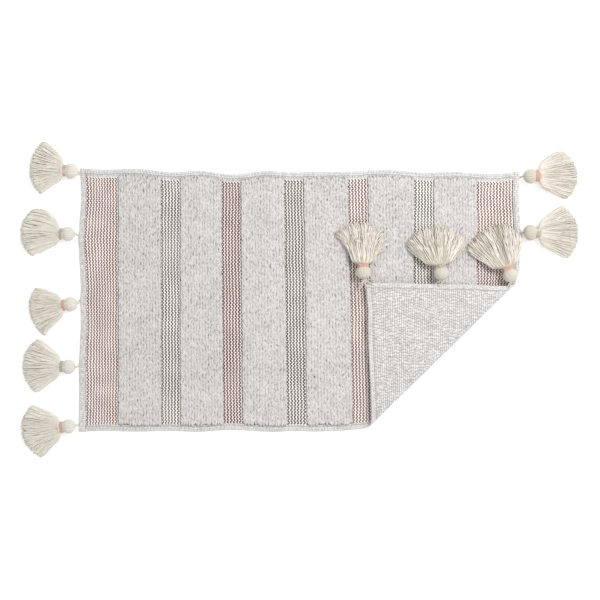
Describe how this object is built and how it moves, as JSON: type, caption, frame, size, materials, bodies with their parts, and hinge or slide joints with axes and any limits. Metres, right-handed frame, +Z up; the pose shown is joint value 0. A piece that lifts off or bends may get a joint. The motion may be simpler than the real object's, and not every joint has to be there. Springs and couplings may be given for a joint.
{
  "type": "bath mat",
  "caption": "Rectangular cotton bath mat of looped pile bands between flat woven stripes, with one corner folded over and hanging tassels along both short ends.",
  "frame": {"origin": "middle of the mat's underside, on the floor", "axes": "+X along the mat towards the folded corner's end, +Z up out of the pile"},
  "size_m": [1.0875, 0.6057, 0.0363],
  "materials": {
    "ground_cotton": "plain ribbed weave",
    "hem_cotton": "turned and stitched plain weave",
    "pile": "rows of uncut loops",
    "stripe_pink": "flat weave flecked with white",
    "stripe_green": "flat weave flecked with white",
    "tassel_yarn": "loose twisted yarn",
    "tassel_cord": "twisted cord",
    "band_pink": "wound thread",
    "band_green": "wound thread",
    "seam_thread": "sewing thread"
  },
  "bodies": {
    "mat": {"hem_left": "hem_cotton", "hem_top": "hem_cotton", "stripe_1_pink": "stripe_pink", "pile_band_1": "pile", "stripe_2_green": "stripe_green", "pile_band_2": "pile", "stripe_3_pink": "stripe_pink", "pile_band_3": "pile", "stripe_4_green": "stripe_green", "pile_band_4": "pile", "ground_cloth": "ground_cotton", "hem_right": "hem_cotton", "hem_bottom": "hem_cotton", "seam_thread": "seam_thread", "stripe_5_pink": "stripe_pink", "pile_band_5": "pile", "stripe_6_green": "stripe_green", "pile_band_6": "pile", "stripe_7_pink": "stripe_pink"},
    "fold_strip": {"fold_cloth": "ground_cotton", "fold_pile": "pile"},
    "corner_flap": {"flap_cloth": "ground_cotton", "flap_hem_end": "hem_cotton", "flap_hem_side": "hem_cotton", "flap_seam_thread": "seam_thread", "flap_pile_band_5": "pile", "flap_stripe_6_green": "stripe_green", "flap_pile_band_6": "pile", "flap_stripe_7_pink": "stripe_pink"},
    "tassel_left_1_hanger": {"tassel_left_1_cord": "tassel_cord"},
    "tassel_left_1": {"tassel_left_1_yarn": "tassel_yarn", "tassel_left_1_band": "band_pink"},
    "tassel_left_2_hanger": {"tassel_left_2_cord": "tassel_cord"},
    "tassel_left_2": {"tassel_left_2_yarn": "tassel_yarn", "tassel_left_2_band": "band_green"},
    "tassel_left_3_hanger": {"tassel_left_3_cord": "tassel_cord"},
    "tassel_left_3": {"tassel_left_3_yarn": "tassel_yarn", "tassel_left_3_band": "band_pink"},
    "tassel_left_4_hanger": {"tassel_left_4_cord": "tassel_cord"},
    "tassel_left_4": {"tassel_left_4_yarn": "tassel_yarn", "tassel_left_4_band": "band_green"},
    "tassel_left_5_hanger": {"tassel_left_5_cord": "tassel_cord"},
    "tassel_left_5": {"tassel_left_5_yarn": "tassel_yarn", "tassel_left_5_band": "band_pink"},
    "tassel_right_1_hanger": {"tassel_right_1_cord": "tassel_cord"},
    "tassel_right_1": {"tassel_right_1_yarn": "tassel_yarn", "tassel_right_1_band": "band_pink"},
    "tassel_right_2_hanger": {"tassel_right_2_cord": "tassel_cord"},
    "tassel_right_2": {"tassel_right_2_yarn": "tassel_yarn", "tassel_right_2_band": "band_green"},
    "tassel_right_3_hanger": {"tassel_right_3_cord": "tassel_cord"},
    "tassel_right_3": {"tassel_right_3_yarn": "tassel_yarn", "tassel_right_3_band": "band_pink"},
    "tassel_right_4_hanger": {"tassel_right_4_cord": "tassel_cord"},
    "tassel_right_4": {"tassel_right_4_yarn": "tassel_yarn", "tassel_right_4_band": "band_green"},
    "tassel_right_5_hanger": {"tassel_right_5_cord": "tassel_cord"},
    "tassel_right_5": {"tassel_right_5_yarn": "tassel_yarn", "tassel_right_5_band": "band_pink"}
  },
  "joints": [
    {"name": "fold_lower", "type": "hinge", "parent": "mat", "child": "fold_strip", "pos_m": [0.1892, -0.19321, 0.00278], "axis": [-0.7145, -0.6997, 0], "range_deg": [-90, 0], "deforming": ["fold_cloth", "fold_pile"]},
    {"name": "fold_upper", "type": "hinge", "parent": "fold_strip", "child": "corner_flap", "pos_m": [0.1892, -0.19321, 0.01582], "axis": [-0.7145, -0.6997, 0], "range_deg": [-90, 0]},
    {"name": "tassel_left_1_swing", "type": "hinge", "parent": "mat", "child": "tassel_left_1_hanger", "pos_m": [-0.43405, 0.248, 0.00225], "axis": [0, 0, 1], "range_deg": [-45, 10]},
    {"name": "tassel_left_1_lift", "type": "hinge", "parent": "tassel_left_1_hanger", "child": "tassel_left_1", "pos_m": [-0.43815, 0.25087, 0.01], "axis": [0.0802, 0.9968, 0], "range_deg": [0, 90]},
    {"name": "tassel_left_2_swing", "type": "hinge", "parent": "mat", "child": "tassel_left_2_hanger", "pos_m": [-0.43405, 0.128, 0.00225], "axis": [0, 0, 1], "range_deg": [-10, 12]},
    {"name": "tassel_left_2_lift", "type": "hinge", "parent": "tassel_left_2_hanger", "child": "tassel_left_2", "pos_m": [-0.43905, 0.128, 0.01], "axis": [0, 1, 0], "range_deg": [0, 90]},
    {"name": "tassel_left_3_swing", "type": "hinge", "parent": "mat", "child": "tassel_left_3_hanger", "pos_m": [-0.43405, 0.001, 0.00225], "axis": [0, 0, 1], "range_deg": [-12, 4]},
    {"name": "tassel_left_3_lift", "type": "hinge", "parent": "tassel_left_3_hanger", "child": "tassel_left_3", "pos_m": [-0.43781, -0.00037, 0.01], "axis": [-0.1392, 0.9903, 0], "range_deg": [0, 90]},
    {"name": "tassel_left_4_swing", "type": "hinge", "parent": "mat", "child": "tassel_left_4_hanger", "pos_m": [-0.43405, -0.127, 0.00225], "axis": [0, 0, 1], "range_deg": [-4, 10]},
    {"name": "tassel_left_4_lift", "type": "hinge", "parent": "tassel_left_4_hanger", "child": "tassel_left_4", "pos_m": [-0.43805, -0.127, 0.01], "axis": [0.0523, 0.9986, 0], "range_deg": [0, 90]},
    {"name": "tassel_left_5_swing", "type": "hinge", "parent": "mat", "child": "tassel_left_5_hanger", "pos_m": [-0.43405, -0.243, 0.00225], "axis": [0, 0, 1], "range_deg": [-8, 45]},
    {"name": "tassel_left_5_lift", "type": "hinge", "parent": "tassel_left_5_hanger", "child": "tassel_left_5", "pos_m": [-0.43805, -0.243, 0.01], "axis": [-0.1167, 0.9932, 0], "range_deg": [0, 90]},
    {"name": "tassel_right_1_swing", "type": "hinge", "parent": "mat", "child": "tassel_right_1_hanger", "pos_m": [0.43405, 0.242, 0.00225], "axis": [0, 0, 1], "range_deg": [-4, 45]},
    {"name": "tassel_right_1_lift", "type": "hinge", "parent": "tassel_right_1_hanger", "child": "tassel_right_1", "pos_m": [0.43805, 0.242, 0.01], "axis": [0.0175, -0.9998, 0], "range_deg": [0, 90]},
    {"name": "tassel_right_2_swing", "type": "hinge", "parent": "mat", "child": "tassel_right_2_hanger", "pos_m": [0.43405, 0.132, 0.00225], "axis": [0, 0, 1], "range_deg": [-20, 4]},
    {"name": "tassel_right_2_lift", "type": "hinge", "parent": "tassel_right_2_hanger", "child": "tassel_right_2", "pos_m": [0.43805, 0.132, 0.01], "axis": [0, -1, 0], "range_deg": [0, 90]},
    {"name": "tassel_right_3_swing", "type": "hinge", "parent": "corner_flap", "child": "tassel_right_3_hanger", "pos_m": [0.41061, 0.03793, 0.01635], "axis": [0, 0, 1], "range_deg": [-3, 10]},
    {"name": "tassel_right_3_lift", "type": "hinge", "parent": "tassel_right_3_hanger", "child": "tassel_right_3", "pos_m": [0.4149, 0.04138, 0.0193], "axis": [0.9511, 0.309, 0], "range_deg": [0, 90]},
    {"name": "tassel_right_4_swing", "type": "hinge", "parent": "corner_flap", "child": "tassel_right_4_hanger", "pos_m": [0.27764, 0.04072, 0.01635], "axis": [0, 0, 1], "range_deg": [-8, 12]},
    {"name": "tassel_right_4_lift", "type": "hinge", "parent": "tassel_right_4_hanger", "child": "tassel_right_4", "pos_m": [0.27773, 0.04472, 0.0193], "axis": [0.9925, 0.1219, 0], "range_deg": [0, 90]},
    {"name": "tassel_right_5_swing", "type": "hinge", "parent": "corner_flap", "child": "tassel_right_5_hanger", "pos_m": [0.14567, 0.04348, 0.01635], "axis": [0, 0, 1], "range_deg": [-10, 8]},
    {"name": "tassel_right_5_lift", "type": "hinge", "parent": "tassel_right_5_hanger", "child": "tassel_right_5", "pos_m": [0.1349, 0.04878, 0.0193], "axis": [0.9988, 0.0488, 0], "range_deg": [0, 90]}
  ],
  "couplings": [
    {"joint": "fold_upper", "follows": "fold_lower", "ratio": 1}
  ]
}
